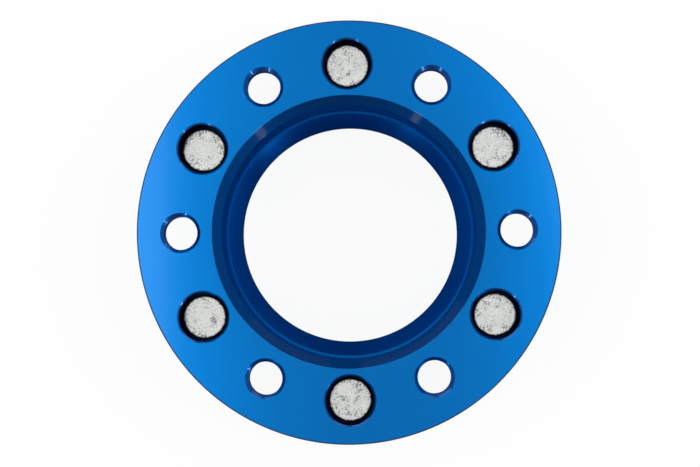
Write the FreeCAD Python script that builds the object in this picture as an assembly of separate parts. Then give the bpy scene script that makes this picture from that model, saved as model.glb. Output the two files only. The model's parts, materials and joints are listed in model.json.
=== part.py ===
import FreeCAD, Part
import math
import os

os.makedirs("parts", exist_ok=True)

# Wheel spacer: a turned aluminium ring that bolts to a six-stud hub, with six studs of
# its own pressed in for the wheel. The axis of the ring is Z. The wheel seats on the
# face at height 0, with the threads below it, and the hub seats on the top face.
# Lengths are millimetres.

# Ring
spacer_thickness = 31.75
outer_diameter = 176.0
edge_break = 0.5

# Central bore: a mouth chamfer, the wall that sits on the hub's nose, a narrow ledge,
# and a cone down to the through bore
register_diameter = 106.1
mouth_chamfer = 3.75
ledge_width = 0.95
through_bore_diameter = 92.1
bore_cone_height = 5.8
bore_land = 0.95

# Bolt circle that the hub's bolts and the spacer's own studs share, turn about
bolt_circle_diameter = 139.7
bolt_count = 6

# Clearance hole for a hub bolt, its conical nut seat and the well that the nut sinks into
bolt_hole_diameter = 13.9
bolt_hole_chamfer = 1.45
bolt_hole_neck = 8.2
nut_seat_diameter = 21.0
nut_seat_angle = 60.0
nut_well_diameter = 30.0

# Pressed-in stud, from its head down
stud_head_diameter = 18.6
stud_head_thickness = 4.5
stud_head_chamfer = 0.8
stud_head_recess = 6.9
head_fillet = 0.4
knurl_diameter = 12.9
knurl_depth = 0.35
knurl_length = 13.0
knurl_teeth = 30
knurl_crest_share = 0.3
neck_diameter = 11.2
thread_diameter = 12.0
thread_standoff = 0.3
thread_chamfer = 1.3
stud_reach = 32.0

# Pocket that the stud head sinks into, and the relief under its fillet
head_clearance = 0.9
pocket_chamfer = 0.7
fillet_clearance = 0.2

# How far a cutting shape runs past the face that it opens
overcut = 2.0

UP = FreeCAD.Vector(0, 0, 1)
CENTRE = FreeCAD.Vector(0, 0, 0)

hub_face = spacer_thickness
head_top = hub_face - stud_head_recess
pocket_floor = head_top - stud_head_thickness
knurl_end = pocket_floor - knurl_length
bolt_turn = 360 / bolt_count
stud_turn = bolt_turn / 2


def turned(section):
    """Solid of revolution about Z of a closed outline of (radius, height) corners."""
    corners = [FreeCAD.Vector(radius, 0, height) for radius, height in section]
    outline = Part.makePolygon(corners + corners[:1])
    return Part.Face(outline).revolve(CENTRE, UP, 360)


def on_bolt_circle(shape, angle):
    """Copy of a shape made on the Z axis, moved to its place on the bolt circle."""
    copy = shape.copy()
    copy.translate(FreeCAD.Vector(bolt_circle_diameter / 2, 0, 0))
    copy.rotate(CENTRE, UP, angle)
    return copy


def ring_blank():
    """The turned ring, before any hole is made in it."""
    rim = outer_diameter / 2
    register = register_diameter / 2
    through = through_bore_diameter / 2
    ledge = bore_land + bore_cone_height
    return turned([
        (register + mouth_chamfer, hub_face),
        (rim - edge_break, hub_face),
        (rim, hub_face - edge_break),
        (rim, edge_break),
        (rim - edge_break, 0),
        (through + edge_break, 0),
        (through, edge_break),
        (through, bore_land),
        (register - ledge_width, ledge),
        (register, ledge),
        (register, hub_face - mouth_chamfer),
    ])


def bolt_hole_cutter():
    """Clearance hole from the hub face, nut seat, and nut well open at the wheel face."""
    hole = bolt_hole_diameter / 2
    mouth = hole + bolt_hole_chamfer + overcut
    seat = nut_seat_diameter / 2
    seat_drop = (seat - hole) / math.tan(math.radians(nut_seat_angle / 2))
    neck_end = hub_face - bolt_hole_neck
    well = nut_well_diameter / 2
    return turned([
        (0, hub_face + overcut),
        (mouth, hub_face + overcut),
        (hole, hub_face - bolt_hole_chamfer),
        (hole, neck_end),
        (seat, neck_end - seat_drop),
        (well, neck_end - seat_drop),
        (well, edge_break),
        (well + edge_break + overcut, -overcut),
        (0, -overcut),
    ])


def stud_seat_cutter():
    """Pocket for the stud head and the bore that its knurl grips."""
    pocket = stud_head_diameter / 2 + head_clearance
    bore = knurl_diameter / 2
    relief = head_fillet + fillet_clearance
    return turned([
        (0, hub_face + overcut),
        (pocket + pocket_chamfer + overcut, hub_face + overcut),
        (pocket, hub_face - pocket_chamfer),
        (pocket, pocket_floor),
        (bore + relief, pocket_floor),
        (bore, pocket_floor - relief),
        (bore, edge_break),
        (bore + edge_break + overcut, -overcut),
        (0, -overcut),
    ])


def spacer_body():
    """The ring with its bolt holes and stud seats, turn about on one bolt circle."""
    bolt_hole = bolt_hole_cutter()
    stud_seat = stud_seat_cutter()
    cutters = []
    for place in range(bolt_count):
        cutters.append(on_bolt_circle(bolt_hole, place * bolt_turn))
        cutters.append(on_bolt_circle(stud_seat, place * bolt_turn + stud_turn))
    return ring_blank().cut(cutters)


def knurl():
    """Straight serrations round the shank, whose flat crests touch the stud's bore."""
    crest = knurl_diameter / 2
    root = crest - knurl_depth
    pitch = 2 * math.pi / knurl_teeth
    half_crest = pitch * knurl_crest_share / 2
    corners = []
    for tooth in range(knurl_teeth):
        middle = tooth * pitch
        corners.append(knurl_corner(crest, middle - half_crest))
        corners.append(knurl_corner(crest, middle + half_crest))
        corners.append(knurl_corner(root, middle + pitch / 2))
    outline = Part.makePolygon(corners + corners[:1])
    return Part.Face(outline).extrude(UP * knurl_length)


def knurl_corner(radius, angle):
    """Point on the lower end of the knurl, at a radius and an angle in radians."""
    return FreeCAD.Vector(radius * math.cos(angle), radius * math.sin(angle), knurl_end)


def stud_forging():
    """Round head, fillet under it, neck, and the plain thread diameter to the tip."""
    head = stud_head_diameter / 2
    crest = knurl_diameter / 2
    neck = neck_diameter / 2
    thread = thread_diameter / 2
    thread_top = -thread_standoff
    return turned([
        (0, head_top),
        (head - stud_head_chamfer, head_top),
        (head, head_top - stud_head_chamfer),
        (head, pocket_floor),
        (crest + head_fillet, pocket_floor),
        (crest, pocket_floor - head_fillet),
        (neck, pocket_floor - head_fillet),
        (neck, thread_top + thread - neck),
        (thread, thread_top),
        (thread, thread_chamfer - stud_reach),
        (thread - thread_chamfer, -stud_reach),
        (0, -stud_reach),
    ])


spacer_body().exportStep("parts/spacer_body.step")

wheel_stud = stud_forging().fuse(knurl()).removeSplitter()
for place in range(bolt_count):
    angle = place * bolt_turn + stud_turn
    on_bolt_circle(wheel_stud, angle).exportStep(f"parts/wheel_stud_{place + 1}.step")
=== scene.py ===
import json
import math

import bpy
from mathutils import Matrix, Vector


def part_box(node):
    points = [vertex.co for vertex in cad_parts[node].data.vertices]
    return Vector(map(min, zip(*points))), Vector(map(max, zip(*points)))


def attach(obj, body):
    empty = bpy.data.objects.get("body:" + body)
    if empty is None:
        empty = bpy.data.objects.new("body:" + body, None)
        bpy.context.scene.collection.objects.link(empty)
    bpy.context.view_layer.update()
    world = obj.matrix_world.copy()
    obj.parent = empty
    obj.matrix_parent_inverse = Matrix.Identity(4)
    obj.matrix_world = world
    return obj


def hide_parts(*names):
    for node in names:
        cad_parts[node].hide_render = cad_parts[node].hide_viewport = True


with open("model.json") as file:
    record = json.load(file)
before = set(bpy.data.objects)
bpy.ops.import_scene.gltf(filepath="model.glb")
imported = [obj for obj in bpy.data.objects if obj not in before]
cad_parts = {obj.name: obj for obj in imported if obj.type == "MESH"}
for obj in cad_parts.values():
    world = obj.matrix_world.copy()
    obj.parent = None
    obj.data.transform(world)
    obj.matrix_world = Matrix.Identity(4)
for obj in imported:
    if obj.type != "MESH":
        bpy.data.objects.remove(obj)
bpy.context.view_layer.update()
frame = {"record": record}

# Wheel spacer: a blue anodised aluminium ring with six pressed-in studs, seen on its hub side.
# The wheel face is at height 0, the hub face above it and the threads below it.
# Lengths are metres.

mounts = {mount["name"]: mount["dims"] for mount in frame["record"]["mounts"]}
boltCircle = mounts["wheel_studs"]["pcd_mm"] / 2000
boltCount = mounts["wheel_studs"]["count"]


# Helpers for modelling

samePlace = 1e-6                   # corners closer than this are one


def onlyThis(piece):
    bpy.ops.object.select_all(action="DESELECT")
    piece.select_set(True)
    bpy.context.view_layer.objects.active = piece


def turned(name, section, sides, closed=False):
    # a circle at the first corner, extruded and scaled from corner to corner;
    # closed brings the last one back to the first, which leaves a bore
    radius, height = section[0]
    bpy.ops.object.select_all(action="DESELECT")
    bpy.ops.mesh.primitive_circle_add(vertices=sides, radius=radius,
                                      fill_type="NOTHING" if closed else "NGON")
    piece = bpy.context.object
    piece.name = name
    bpy.ops.object.mode_set(mode="EDIT")
    bpy.ops.mesh.select_all(action="SELECT")
    bpy.ops.transform.translate(value=(0, 0, height))
    for nextRadius, nextHeight in section[1:] + (section[:1] if closed else []):
        bpy.ops.mesh.extrude_region_move(TRANSFORM_OT_translate={"value": (0, 0, nextHeight - height)})
        scale = nextRadius / radius
        bpy.ops.transform.resize(value=(scale, scale, 1), center_override=(0, 0, nextHeight))
        radius, height = nextRadius, nextHeight
    bpy.ops.mesh.select_all(action="SELECT")
    if closed:
        bpy.ops.mesh.remove_doubles(threshold=samePlace)
    bpy.ops.mesh.normals_make_consistent(inside=False)
    bpy.ops.object.mode_set(mode="OBJECT")
    return piece


def moveMesh(piece, offset):
    onlyThis(piece)
    bpy.ops.object.mode_set(mode="EDIT")
    bpy.ops.mesh.select_all(action="SELECT")
    bpy.ops.transform.translate(value=offset)
    bpy.ops.object.mode_set(mode="OBJECT")


def aroundTheCircle(piece, names, firstAngle):
    # turns a piece made on the X side to its first place, and copies it to the others
    pieces = []
    for place, name in enumerate(names):
        onlyThis(piece)
        bpy.ops.object.duplicate()
        copy = bpy.context.object
        copy.name = copy.data.name = name
        copy.rotation_euler.z = math.radians(firstAngle + place * 360 / len(names))
        bpy.ops.object.transform_apply(location=True, rotation=True, scale=True)
        pieces.append(copy)
    bpy.data.objects.remove(piece)
    return pieces


def inOrder(piece):
    # a cut leaves corners and faces in no fixed order, so they are put in order of place
    mesh = piece.data
    corners = sorted(mesh.vertices, key=lambda corner: tuple(corner.co))
    rank = {corner.index: place for place, corner in enumerate(corners)}
    faces = []
    for face in mesh.polygons:
        loop = [rank[index] for index in face.vertices]
        first = loop.index(min(loop))
        faces.append(loop[first:] + loop[:first])
    places = [tuple(corner.co) for corner in corners]
    mesh.clear_geometry()
    mesh.from_pydata(places, [], sorted(faces))


def combine(piece, other, operation):
    onlyThis(piece)
    cut = piece.modifiers.new(operation, "BOOLEAN")
    cut.operation = operation
    cut.solver = "EXACT"
    cut.object = other
    bpy.ops.object.modifier_apply(modifier=cut.name)
    bpy.data.objects.remove(other)
    inOrder(piece)


def joined(pieces):
    onlyThis(pieces[0])
    for piece in pieces[1:]:
        piece.select_set(True)
    bpy.ops.object.join()
    return bpy.context.object


def cleanCorners(piece, apart):
    # merges the corners that a cut leaves closer than this
    onlyThis(piece)
    bpy.ops.object.mode_set(mode="EDIT")
    bpy.ops.mesh.select_all(action="SELECT")
    bpy.ops.mesh.remove_doubles(threshold=apart)
    bpy.ops.object.mode_set(mode="OBJECT")


def cleanFaces(piece, flatAngle):
    # joins the flat faces that a cut leaves in slivers
    onlyThis(piece)
    bpy.ops.object.mode_set(mode="EDIT")
    bpy.ops.mesh.select_all(action="SELECT")
    bpy.ops.mesh.dissolve_limited(angle_limit=math.radians(flatAngle))
    bpy.ops.object.mode_set(mode="OBJECT")


def softenEdges(piece, width, steps, sharpAngle):
    onlyThis(piece)
    bpy.ops.object.shade_smooth()
    edge = piece.modifiers.new("softEdges", "BEVEL")
    edge.width = width
    edge.segments = steps
    edge.limit_method = "ANGLE"
    edge.angle_limit = math.radians(sharpAngle)
    edge.harden_normals = True
    bpy.ops.object.modifier_apply(modifier=edge.name)


# Helpers for materials

class Wire:
    # one output socket; an expression on it adds its Math nodes
    def __init__(self, graph, socket):
        self.graph = graph
        self.socket = socket

    def maths(self, operation, *values):
        return self.graph.maths(operation, *values)

    def __add__(self, other):
        return self.maths("ADD", self, other)

    def __radd__(self, other):
        return self.maths("ADD", other, self)

    def __sub__(self, other):
        return self.maths("SUBTRACT", self, other)

    def __rsub__(self, other):
        return self.maths("SUBTRACT", other, self)

    def __mul__(self, other):
        return self.maths("MULTIPLY", self, other)

    def __rmul__(self, other):
        return self.maths("MULTIPLY", other, self)

    def __gt__(self, other):
        return self.maths("GREATER_THAN", self, other)

    def __lt__(self, other):
        return self.maths("LESS_THAN", self, other)

    def root(self):
        return self.maths("SQRT", self)


class Graph:
    # the nodes of one material or of the world
    def __init__(self, owner):
        owner.use_nodes = True
        self.nodes = owner.node_tree.nodes
        self.links = owner.node_tree.links

    def feed(self, socket, value):
        if isinstance(value, Wire):
            self.links.new(value.socket, socket)
        else:
            socket.default_value = value

    def node(self, kind, settings, inputs, output=0):
        made = self.nodes.new(kind)
        for setting, value in settings.items():
            setattr(made, setting, value)
        for socket, value in inputs.items():
            self.feed(made.inputs[socket], value)
        return Wire(self, made.outputs[output])

    def mixColour(self, factor, first, second):
        return self.node("ShaderNodeMix", {"data_type": "RGBA"}, {0: factor, 6: first, 7: second}, 2)

    def maths(self, operation, *values):
        return self.node("ShaderNodeMath", {"operation": operation}, dict(enumerate(values)))

    def fade(self, value, start, end):
        # 0 up to start, 1 from end
        return self.node("ShaderNodeMapRange", {}, {"Value": value, "From Min": start, "From Max": end})

    def noise(self, place, look):
        return self.node("ShaderNodeTexNoise", {}, {"Vector": place, **look})

    def lines(self, across, look):
        return self.node("ShaderNodeTexNoise", {"noise_dimensions": "1D"}, {"W": across, **look})

    def fromBoltCircle(self, x, y, firstAngle):
        # distance from the nearest axis on the bolt circle, the first of them at this angle
        step = 2 * math.pi / boltCount
        angle = self.maths("ARCTAN2", y, x) - math.radians(firstAngle)
        folded = self.maths("WRAP", angle, step / 2, -step / 2)
        radius = (x * x + y * y).root()
        out = radius * self.maths("COSINE", folded) - boltCircle
        aside = radius * self.maths("SINE", folded)
        return (out * out + aside * aside).root()

    def split(self, vector):
        parts = self.node("ShaderNodeSeparateXYZ", {}, {0: vector})
        return [Wire(self, output) for output in parts.socket.node.outputs]


def colour(red, green, blue):
    return (red, green, blue, 1)


# The ring and its holes

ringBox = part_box("spacer_body")
ring = {
    "thickness": ringBox[1].z,
    "radius": ringBox[1].x,
    "edgeBreak": 0.0005,
    "register": mounts["hub_bore"]["r_mm"] / 1000,
    "mouthChamfer": 0.00375,
    "ledgeWidth": 0.00095,
    "throughRadius": 0.04605,
    "coneHeight": 0.0058,
    "boreLand": 0.00095,
    "sides": 288,
    "softEdge": 0.00008,
    "softEdgeSteps": 2,
    "flatAngle": 0.2,              # degrees; faces that meet at less are one
    "sharpAngle": 20,              # degrees; edges that turn more are softened
}
boltHole = {
    "radius": mounts["hub_bolt_holes"]["hole_r_mm"] / 1000,
    "chamfer": 0.00145,
    "neck": 0.0082,
    "seatRadius": 0.0105,
    "seatAngle": 60,
    "wellRadius": 0.015,
    "sides": 96,
}
stud = {
    "headRadius": 0.0093,
    "headThickness": 0.0045,
    "headEdge": 0.0008,
    "headEdgeSteps": 6,
    "headRecess": 0.0069,
    "headFillet": 0.0004,
    "filletClearance": 0.0002,
    "knurlRadius": 0.00645,
    "knurlDepth": 0.00035,
    "knurlLength": 0.013,
    "knurlTeeth": 30,
    "knurlTop": 0.0002,            # how far below the head's underside it starts
    "knurlEase": 0.000004,         # keeps its crests off the wall of the bore
    "neckRadius": 0.0056,
    "neckOverlap": 0.001,          # how far the neck runs down inside the thread
    "threadRadius": mounts["wheel_studs"]["stud_r_mm"] / 1000,
    "threadPitch": 0.0015,
    "threadDepth": 0.00092,
    "threadEase": 0.00001,         # keeps its crests off the wall of the envelope
    "threadStart": -0.0003,
    "threadSteps": 48,             # steps to a turn
    "threadCrest": (0.38, 0.5),    # where the crest starts and ends in one pitch
    "threadRoot": (0.88, 1.0),     # and the root after it
    "threadLead": 1.5,             # pitches that the rod runs past each end, or more
    "taperInset": 0.0004,          # how far the thread's taper runs into the neck
    "tipChamfer": 0.0013,
    "tip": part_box("wheel_stud_1")[0].z,
    "pocketClearance": 0.0009,
    "pocketChamfer": 0.0007,
    "sides": 96,
    "sharpAngle": 35,              # degrees; edges that turn more stay crisp
}
beyond = 0.002                     # how far a cutter runs past the face that it opens
hubFace = ring["thickness"]
headTop = hubFace - stud["headRecess"]
pocketFloor = headTop - stud["headThickness"]


def ringBlank():
    register = ring["register"]
    through = ring["throughRadius"]
    rim = ring["radius"]
    edge = ring["edgeBreak"]
    ledge = ring["boreLand"] + ring["coneHeight"]
    return turned("spacerRing", [
        (register + ring["mouthChamfer"], hubFace),
        (rim - edge, hubFace),
        (rim, hubFace - edge),
        (rim, edge),
        (rim - edge, 0),
        (through + edge, 0),
        (through, edge),
        (through, ring["boreLand"]),
        (register - ring["ledgeWidth"], ledge),
        (register, ledge),
        (register, hubFace - ring["mouthChamfer"]),
    ], ring["sides"], closed=True)


def boltHoleCutter():
    # chamfer and clearance hole, the cone that a nut seats on, and the well round it
    hole = boltHole["radius"]
    seat = boltHole["seatRadius"]
    well = boltHole["wellRadius"]
    neckEnd = hubFace - boltHole["neck"]
    seatEnd = neckEnd - (seat - hole) / math.tan(math.radians(boltHole["seatAngle"] / 2))
    cutter = turned("boltHoleCutter", [
        (hole + boltHole["chamfer"] + beyond, hubFace + beyond),
        (hole, hubFace - boltHole["chamfer"]),
        (hole, neckEnd),
        (seat, seatEnd),
        (well, seatEnd),
        (well, ring["edgeBreak"]),
        (well + ring["edgeBreak"] + beyond, -beyond),
    ], boltHole["sides"])
    moveMesh(cutter, (boltCircle, 0, 0))
    return cutter


def studSeatCutter():
    # pocket for the stud's head, relief under its fillet, and the bore for its knurl
    pocket = stud["headRadius"] + stud["pocketClearance"]
    bore = stud["knurlRadius"]
    relief = stud["headFillet"] + stud["filletClearance"]
    cutter = turned("studSeatCutter", [
        (pocket + stud["pocketChamfer"] + beyond, hubFace + beyond),
        (pocket, hubFace - stud["pocketChamfer"]),
        (pocket, pocketFloor),
        (bore + relief, pocketFloor),
        (bore, pocketFloor - relief),
        (bore, ring["edgeBreak"]),
        (bore + ring["edgeBreak"] + beyond, -beyond),
    ], stud["sides"])
    moveMesh(cutter, (boltCircle, 0, 0))
    return cutter


spacerRing = ringBlank()
holeNames = [f"boltHoleCutter{place}" for place in range(boltCount)]
seatNames = [f"studSeatCutter{place}" for place in range(boltCount)]
halfStep = 180 / boltCount
cutters = aroundTheCircle(boltHoleCutter(), holeNames, 0)
cutters += aroundTheCircle(studSeatCutter(), seatNames, halfStep)
combine(spacerRing, joined(cutters), "DIFFERENCE")
cleanCorners(spacerRing, 2 * samePlace)
cleanFaces(spacerRing, ring["flatAngle"])
softenEdges(spacerRing, ring["softEdge"], ring["softEdgeSteps"], ring["sharpAngle"])
print("ring:", len(spacerRing.data.polygons), "faces")


# The studs

def studBlank():
    # head, fillet, neck; the head's outer edge is rounded afterwards
    head = stud["headRadius"]
    crest = stud["knurlRadius"]
    neck = stud["neckRadius"]
    return turned("studBlank", [
        (head, headTop),
        (head, pocketFloor),
        (crest + stud["headFillet"], pocketFloor),
        (crest, pocketFloor - stud["headFillet"]),
        (neck, pocketFloor - stud["headFillet"]),
        (neck, stud["threadStart"] - stud["neckOverlap"]),
    ], stud["sides"])


def roundTheHead(piece):
    # bevels the ring of edges at the top
    onlyThis(piece)
    bpy.ops.object.mode_set(mode="EDIT")
    bpy.ops.mesh.select_mode(type="EDGE")
    bpy.ops.mesh.select_all(action="DESELECT")
    bpy.ops.object.mode_set(mode="OBJECT")
    corners = piece.data.vertices
    for edge in piece.data.edges:
        ends = [corners[index].co for index in edge.vertices]
        edge.select = all(abs(end.z - headTop) < samePlace for end in ends)
    bpy.ops.object.mode_set(mode="EDIT")
    bpy.ops.mesh.bevel(offset=stud["headEdge"], segments=stud["headEdgeSteps"], profile=0.5)
    bpy.ops.object.mode_set(mode="OBJECT")


def knurl():
    # three corners to a tooth: two stay on the crest and the third is drawn in to the root
    crest = stud["knurlRadius"] - stud["knurlEase"]
    teeth = stud["knurlTeeth"]
    pitch = 2 * math.pi / teeth
    nearRoot = pitch / 12
    top = pocketFloor - stud["knurlTop"]
    bottom = pocketFloor - stud["knurlLength"]
    bpy.ops.object.select_all(action="DESELECT")
    bpy.ops.mesh.primitive_circle_add(vertices=3 * teeth, radius=crest, fill_type="NGON")
    piece = bpy.context.object
    bpy.ops.object.mode_set(mode="EDIT")
    bpy.ops.mesh.select_mode(type="VERT")
    bpy.ops.mesh.select_all(action="DESELECT")
    bpy.ops.object.mode_set(mode="OBJECT")
    for corner in piece.data.vertices:
        turn = math.atan2(corner.co.y, corner.co.x) % pitch
        corner.select = abs(turn - pitch / 2) < nearRoot
    bpy.ops.object.mode_set(mode="EDIT")
    root = 1 - stud["knurlDepth"] / crest
    bpy.ops.transform.resize(value=(root, root, 1), center_override=(0, 0, 0))
    bpy.ops.mesh.select_all(action="SELECT")
    bpy.ops.transform.translate(value=(0, 0, bottom))
    bpy.ops.mesh.extrude_region_move(TRANSFORM_OT_translate={"value": (0, 0, top - bottom)})
    bpy.ops.mesh.select_all(action="SELECT")
    bpy.ops.mesh.normals_make_consistent(inside=False)
    bpy.ops.object.mode_set(mode="OBJECT")
    return piece


def threadedRod():
    # one pitch of the thread's profile, screwed down past the tip
    pitch = stud["threadPitch"]
    crest = stud["threadRadius"] - stud["threadEase"]
    root = crest - stud["threadDepth"]
    crestStart, crestEnd = stud["threadCrest"]
    rootStart, rootEnd = stud["threadRoot"]
    profile = [(root, 0), (crest, crestStart), (crest, crestEnd), (root, rootStart), (root, rootEnd)]
    turns = math.ceil((stud["threadStart"] - stud["tip"]) / pitch + 2 * stud["threadLead"])
    start = stud["threadStart"] + stud["threadLead"] * pitch
    bpy.ops.object.select_all(action="DESELECT")
    bpy.ops.mesh.primitive_circle_add(vertices=3, radius=root)
    piece = bpy.context.object
    bpy.ops.object.mode_set(mode="EDIT")
    bpy.ops.mesh.select_all(action="SELECT")
    bpy.ops.mesh.merge(type="CENTER")
    bpy.ops.transform.translate(value=(root, 0, start))
    for (radius, down), (nextRadius, nextDown) in zip(profile, profile[1:]):
        bpy.ops.mesh.extrude_region_move(TRANSFORM_OT_translate={
            "value": (nextRadius - radius, 0, (down - nextDown) * pitch)})
    bpy.ops.object.mode_set(mode="OBJECT")
    helix = piece.modifiers.new("helix", "SCREW")
    helix.axis = "Z"
    helix.angle = 2 * math.pi
    helix.screw_offset = -pitch
    helix.iterations = turns
    helix.steps = helix.render_steps = stud["threadSteps"]
    helix.use_merge_vertices = True
    helix.merge_threshold = samePlace
    bpy.ops.object.modifier_apply(modifier=helix.name)
    bpy.ops.object.mode_set(mode="EDIT")
    bpy.ops.mesh.select_all(action="SELECT")
    bpy.ops.mesh.remove_doubles(threshold=samePlace)
    bpy.ops.mesh.select_all(action="DESELECT")
    bpy.ops.mesh.select_mode(type="EDGE")
    bpy.ops.mesh.select_non_manifold()
    bpy.ops.mesh.fill_holes(sides=0)
    bpy.ops.mesh.select_all(action="SELECT")
    bpy.ops.mesh.normals_make_consistent(inside=False)
    bpy.ops.object.mode_set(mode="OBJECT")
    return piece


def threadEnvelope():
    # the rod is kept inside this: a taper into the neck above, a chamfered tip below
    thread = stud["threadRadius"]
    inner = stud["neckRadius"] - stud["taperInset"]
    tip = stud["tip"]
    start = stud["threadStart"]
    return turned("threadEnvelope", [
        (inner, start + thread - inner),
        (thread, start),
        (thread, tip + stud["tipChamfer"]),
        (thread - stud["tipChamfer"], tip),
    ], stud["sides"])


oneStud = studBlank()
roundTheHead(oneStud)
combine(oneStud, knurl(), "UNION")
thread = threadedRod()
print("rod:", len(thread.data.polygons), "faces")
combine(thread, threadEnvelope(), "INTERSECT")
combine(oneStud, thread, "UNION")
cleanCorners(oneStud, samePlace)
moveMesh(oneStud, (boltCircle, 0, 0))
bpy.ops.object.shade_smooth_by_angle(angle=math.radians(stud["sharpAngle"]))
studNames = [f"wheelStud{place + 1}" for place in range(boltCount)]
studs = aroundTheCircle(oneStud, studNames, halfStep)
print("stud:", len(studs[0].data.polygons), "faces")


# Finishes

anodised = {
    "blue": colour(0.0, 0.20, 0.655),
    "paler": colour(0.0, 0.225, 0.695),
    # painted shade: dark navy laid on the outer edge break and on the land at the foot of the bore
    "edge": colour(0.0, 0.03, 0.14),
    "deep": colour(0.0, 0.165, 0.68),      # on the slanted cuts
    "wall": colour(0.0, 0.23, 0.50),
    "grazing": colour(0.04, 0.20, 0.45),
    # painted shade: the dye is mixed towards this black by each cut's share
    "paintedShadeBlack": colour(0.0, 0.0, 0.0),
    "coatRoughness": 0.08,
    "brushing": 0.25,
    "fineLines": {"Scale": 3800.0, "Detail": 2.0},     # lines and clouds to a metre
    "wideLines": {"Scale": 420.0, "Detail": 3.0},
    "clouds": {"Scale": 26.0, "Detail": 3.0},
    "fineShare": 0.75,             # of the fine lines against the wide ones
    "cloudShare": 0.6,             # of the clouds against the lines, in the dye
    "lineDepth": 0.00003,
    "lineStrength": 0.05,
    "lineRoughness": 0.01,
    "conePaintedLight": 0.3,               # painted light: how much paler the cone is at its top than at its foot
    "cuts": {                      # roughness, painted shade as the share of the dye's colour kept against black, clear coat
        "rest": (0.30, 1.0, 0.3),
        "face": (0.27, 1.0, 0.4),
        "chamfer": (0.34, 0.70, 0.65),
        "hole": (0.40, 0.1, 0.0),
        "pocket": (0.30, 0.12, 0.0),
        "mouth": (0.52, 0.345, 0.10),
        "wall": (0.45, 0.46, 0.0),
        "ledge": (0.30, 1.0, 0.0),
        "cone": (0.24, 0.59, 0.0),
    },
}


def anodisedBlue():
    material = bpy.data.materials.new("anodisedBlue")
    graph = Graph(material)
    place = graph.node("ShaderNodeTexCoord", {}, {}, "Object")
    x, y, z = graph.split(place)
    radius = (x * x + y * y).root()
    fromHole = graph.fromBoltCircle(x, y, 0)
    fromStud = graph.fromBoltCircle(x, y, halfStep)

    # where each cut of the tool is; a softened edge belongs to the face beside it
    near = ring["softEdge"]
    bore = radius < ring["register"] + ring["mouthChamfer"]
    inHole = fromHole < boltHole["radius"] + boltHole["chamfer"]
    inPocket = fromStud < stud["headRadius"] + stud["pocketClearance"] + stud["pocketChamfer"]
    chamferDepth = stud["pocketChamfer"] + inHole * (boltHole["chamfer"] - stud["pocketChamfer"])
    face = (z > hubFace - near) + (z < near)
    below = 1 - face
    cuts = {"face": face}
    cuts["mouth"] = below * bore * (z > hubFace - ring["mouthChamfer"])
    ledgeHeight = ring["boreLand"] + ring["coneHeight"]
    cuts["cone"] = below * bore * (z < ledgeHeight - near)
    cuts["ledge"] = below * bore * (z < ledgeHeight + near) - cuts["cone"]
    cuts["wall"] = below * bore - cuts["mouth"] - cuts["cone"] - cuts["ledge"]
    cuts["chamfer"] = below * (1 - bore) * (z > hubFace - chamferDepth)
    cuts["hole"] = below * inHole * (1 - cuts["chamfer"]) * (z > hubFace - boltHole["neck"])
    cuts["pocket"] = below * inPocket * (1 - cuts["chamfer"]) * (z > pocketFloor - near)
    broken = ring["edgeBreak"] + near
    # painted shade: where the outer edge break and the land of the bore are painted dark
    paintedShadeRim = (radius > ring["radius"] - broken) * ((z > hubFace - broken) + (z < broken))
    paintedShadeLand = bore * (z < ring["boreLand"] + near) * (z > near)

    # the tool's fine lines run round the ring, and in a bolt hole round that hole
    acrossTheCut = radius + z + inHole * (fromHole - radius)
    fineLines = graph.lines(acrossTheCut, anodised["fineLines"])
    wideLines = graph.lines(acrossTheCut, anodised["wideLines"])
    lines = fineLines * anodised["fineShare"] + wideLines * (1 - anodised["fineShare"])
    clouds = graph.noise(place, anodised["clouds"])
    uneven = lines * (1 - anodised["cloudShare"]) + clouds * anodised["cloudShare"]

    # painted shade: each cut keeps only its share of the dye's colour, least in the holes and pockets
    rest = anodised["cuts"]["rest"]
    rough, paintedShadeShare, coat = rest
    for name, mask in cuts.items():
        ownRough, ownPaintedShadeShare, ownCoat = anodised["cuts"][name]
        rough = rough + mask * (ownRough - rest[0])
        paintedShadeShare = paintedShadeShare + mask * (ownPaintedShadeShare - rest[1])
        coat = coat + mask * (ownCoat - rest[2])
    # painted light: the cone keeps more of the dye towards its top
    upTheCone = (z - ring["boreLand"]) * (1 / ring["coneHeight"])
    paintedShadeShare = paintedShadeShare + cuts["cone"] * upTheCone * anodised["conePaintedLight"]
    dyeAndPaintedShade = graph.mixColour(uneven, anodised["blue"], anodised["paler"])
    dyeAndPaintedShade = graph.mixColour(cuts["mouth"] + cuts["cone"] + cuts["chamfer"], dyeAndPaintedShade, anodised["deep"])
    dyeAndPaintedShade = graph.mixColour(cuts["wall"], dyeAndPaintedShade, anodised["wall"])
    # painted shade: the dye mixed towards black by the share
    dyeAndPaintedShade = graph.mixColour(paintedShadeShare, anodised["paintedShadeBlack"], dyeAndPaintedShade)
    finish = graph.nodes["Principled BSDF"]
    # painted shade on the outer edge break and the land
    graph.feed(finish.inputs["Base Color"], graph.mixColour(paintedShadeRim + paintedShadeLand, dyeAndPaintedShade, anodised["edge"]))
    finish.inputs["Metallic"].default_value = 1.0
    graph.feed(finish.inputs["Roughness"], rough + (lines - 0.5) * anodised["lineRoughness"])
    finish.inputs["Anisotropic"].default_value = anodised["brushing"]
    finish.inputs["Specular Tint"].default_value = anodised["grazing"]
    graph.feed(finish.inputs["Coat Weight"], coat)
    finish.inputs["Coat Roughness"].default_value = anodised["coatRoughness"]
    relief = {"Height": lines, "Strength": anodised["lineStrength"], "Distance": anodised["lineDepth"]}
    graph.feed(finish.inputs["Normal"], graph.node("ShaderNodeBump", {}, relief))
    return material


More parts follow.
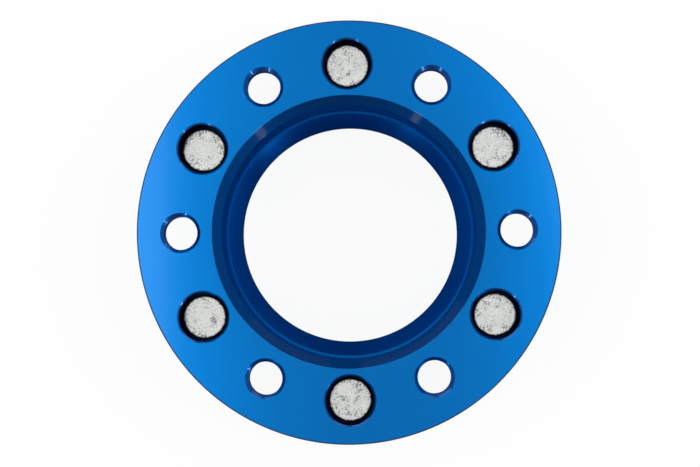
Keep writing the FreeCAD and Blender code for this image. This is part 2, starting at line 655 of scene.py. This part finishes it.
plated = {
    "grey": colour(0.78, 0.79, 0.765),
    # painted light: the paler grey towards the edge of the head
    "paintedLight": colour(0.98, 0.98, 0.95),
    "dark": colour(0.10, 0.11, 0.11),
    # painted shade on the rounded edge of the head
    "edge": colour(0.012, 0.012, 0.014),
    "roughness": 0.5,
    "metallic": 0.75,
    "grain": {"Scale": 1900.0, "Detail": 3.0, "Roughness": 0.7},
    "pits": {"Scale": 1300.0, "Detail": 2.0, "Roughness": 0.6},
    "patches": {"Scale": 260.0, "Detail": 1.0},
    "clustering": 0.8,             # how far the specks keep together in patches
    "dirtOutwards": 6.0,           # the dirt thickens towards the edge of the head, to a metre
    "dirtFade": (0.60, 0.78),      # noise from which a speck starts, and is at its darkest
    "toneFade": (0.32, 0.62),      # grain up to which the grey is darkest, and from which it is clean
    "dirtOnHead": 0.62,
    "dirtBelow": 0.15,             # on the knurl and the thread
    "toneOnHead": 0.42,
    "toneBelow": 0.168,
    "paintedLightFade": (0.0045, 0.0075),        # painted light: the head is painted paler between these radii
    "paleRadius": 0.00811,         # the top is pale to here, and the rounded edge is dark with painted shade
    "edgeWidth": 0.00045,          # over which the painted shade sets in
    "ragged": 0.0012,
    "grainRoughness": 0.15,
    "grainStrength": 0.6,
    "grainDepth": 0.0001,
}


def platedSteel():
    material = bpy.data.materials.new("platedSteel")
    graph = Graph(material)
    place = graph.node("ShaderNodeTexCoord", {}, {}, "Object")
    x, y, z = graph.split(place)
    fromAxis = graph.fromBoltCircle(x, y, halfStep)
    head = z > pocketFloor
    grain = graph.noise(place, plated["grain"])
    pits = graph.noise(place, plated["pits"])
    patches = graph.noise(place, plated["patches"])

    # specks gather in patches and towards the edge of the head, and are few further down
    speckle = pits + (patches - 0.5) * plated["clustering"] + fromAxis * plated["dirtOutwards"]
    dirt = graph.fade(speckle, *plated["dirtFade"])
    tone = 1 - graph.fade(grain, *plated["toneFade"])
    dirtLevel = plated["dirtBelow"] + head * (plated["dirtOnHead"] - plated["dirtBelow"])
    toneLevel = plated["toneBelow"] + head * (plated["toneOnHead"] - plated["toneBelow"])
    soiling = tone * toneLevel + dirt * dirtLevel
    # painted shade: the rounded edge of the head is painted near-black beyond a ragged radius
    ragged = fromAxis + (pits - 0.5) * plated["ragged"]
    paintedShadeOnEdge = graph.fade(ragged, plated["paleRadius"], plated["paleRadius"] + plated["edgeWidth"])
    # painted light: the head turns paler towards its edge
    paintedLight = graph.fade(fromAxis, *plated["paintedLightFade"])
    clean = graph.mixColour(paintedLight, plated["grey"], plated["paintedLight"])
    top = graph.mixColour(soiling, clean, plated["dark"])
    finish = graph.nodes["Principled BSDF"]
    graph.feed(finish.inputs["Base Color"], graph.mixColour(paintedShadeOnEdge, top, plated["edge"]))
    finish.inputs["Metallic"].default_value = plated["metallic"]
    graph.feed(finish.inputs["Roughness"], plated["roughness"] + grain * plated["grainRoughness"])
    relief = {"Height": grain, "Strength": plated["grainStrength"], "Distance": plated["grainDepth"]}
    graph.feed(finish.inputs["Normal"], graph.node("ShaderNodeBump", {}, relief))
    return material


spacerRing.data.materials.clear()
spacerRing.data.materials.append(anodisedBlue())
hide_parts("spacer_body")
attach(spacerRing, "root")
steel = platedSteel()
for place, piece in enumerate(studs):
    piece.data.materials.clear()
    piece.data.materials.append(steel)
    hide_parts(f"wheel_stud_{place + 1}")
    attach(piece, "root")
print("finishes on")


# Floor, light and camera

studio = {
    "floorHeight": stud["tip"],
    "floorRadius": 6.0,
    "floorSides": 64,
    "matt": colour(0.9, 0.9, 0.9),
    "white": colour(1.0, 1.0, 1.0),
    "whiteShare": 0.9,             # of plain white against the lit floor with its shadow
    "skyLevel": 0.22,
}


def floorWhite():
    # a camera, mirror or glass ray sees plain white, with a little of the shadow left in it
    material = bpy.data.materials.new("floorWhite")
    graph = Graph(material)
    camera = graph.node("ShaderNodeLightPath", {}, {}, "Is Camera Ray")
    glossy = graph.node("ShaderNodeLightPath", {}, {}, "Is Glossy Ray")
    clear = graph.node("ShaderNodeLightPath", {}, {}, "Is Transmission Ray")
    seen = graph.maths("MAXIMUM", graph.maths("MAXIMUM", camera, glossy), clear)
    glow = graph.node("ShaderNodeEmission", {}, {"Color": studio["white"], "Strength": 1.0})
    matt = graph.node("ShaderNodeBsdfDiffuse", {}, {"Color": studio["matt"]})
    mixed = graph.node("ShaderNodeMixShader", {}, {0: seen * studio["whiteShare"], 1: matt, 2: glow})
    graph.feed(graph.nodes["Material Output"].inputs["Surface"], mixed)
    return material


bpy.ops.object.select_all(action="DESELECT")
bpy.ops.mesh.primitive_circle_add(vertices=studio["floorSides"], radius=studio["floorRadius"],
                                  fill_type="NGON", location=(0, 0, studio["floorHeight"]))
floor = bpy.context.object
floor.name = "floor"
floor.data.materials.append(floorWhite())

world = bpy.data.worlds.new("sky")
bpy.context.scene.world = world
sky = Graph(world)
sky.nodes["Background"].inputs["Color"].default_value = studio["white"]
sky.nodes["Background"].inputs["Strength"].default_value = studio["skyLevel"]


def areaLight(name, place, aim, size, level):
    # aim is the height on the axis that the panel faces; level is how bright the panel itself
    # looks, so watts follow from its size
    lamp = bpy.data.lights.new(name, "AREA")
    lamp.shape = "RECTANGLE"
    lamp.size, lamp.size_y = size
    lamp.energy = level * math.pi * size[0] * size[1]
    light = bpy.data.objects.new(name, lamp)
    light.location = place
    light.rotation_euler = (Vector((0, 0, aim)) - Vector(place)).to_track_quat("-Z", "Y").to_euler()
    light.visible_camera = False
    bpy.context.scene.collection.objects.link(light)


lights = {
    "softboxLeft": {"place": (-0.781, 0.0, 0.911), "aim": 0, "size": (1.352, 1.4), "level": 1.95},
    "softboxRight": {"place": (0.770, 0.12, 0.921), "aim": 0, "size": (1.391, 1.4), "level": 2.0},
    "stripRight": {"place": (0.209, -0.230, 0.111), "aim": 0.111, "size": (0.024, 0.15), "level": 8.6},
    "stripLeft": {"place": (-0.220, -0.327, 0.111), "aim": 0.111, "size": (0.024, 0.15), "level": 8.6},
    "panelRight": {"place": (0.211, 0.431, 0.111), "aim": 0.111, "size": (0.33, 0.15), "level": 0.95},
    "panelLeft": {"place": (-0.245, 0.415, 0.111), "aim": 0.111, "size": (0.44, 0.15), "level": 1.2},
}
for name, light in lights.items():
    areaLight(name, **light)

view = {
    "lens": 85,                            # millimetres
    "sensor": 36,                          # millimetres
    "nearest": 0.01,
    "place": (0.014262, -0.033155, 0.714798),
    "turn": (2.6909, 1.1731, -0.5271),     # degrees about X, Y and Z
}
camera = bpy.data.cameras.new("photographView")
camera.lens = view["lens"]
camera.sensor_width = view["sensor"]
camera.clip_start = view["nearest"]
cameraObject = bpy.data.objects.new("photographView", camera)
cameraObject.location = view["place"]
cameraObject.rotation_euler = [math.radians(angle) for angle in view["turn"]]
bpy.context.scene.collection.objects.link(cameraObject)
bpy.context.scene.camera = cameraObject
bpy.context.scene.view_settings.view_transform = "Standard"
print("studio set")
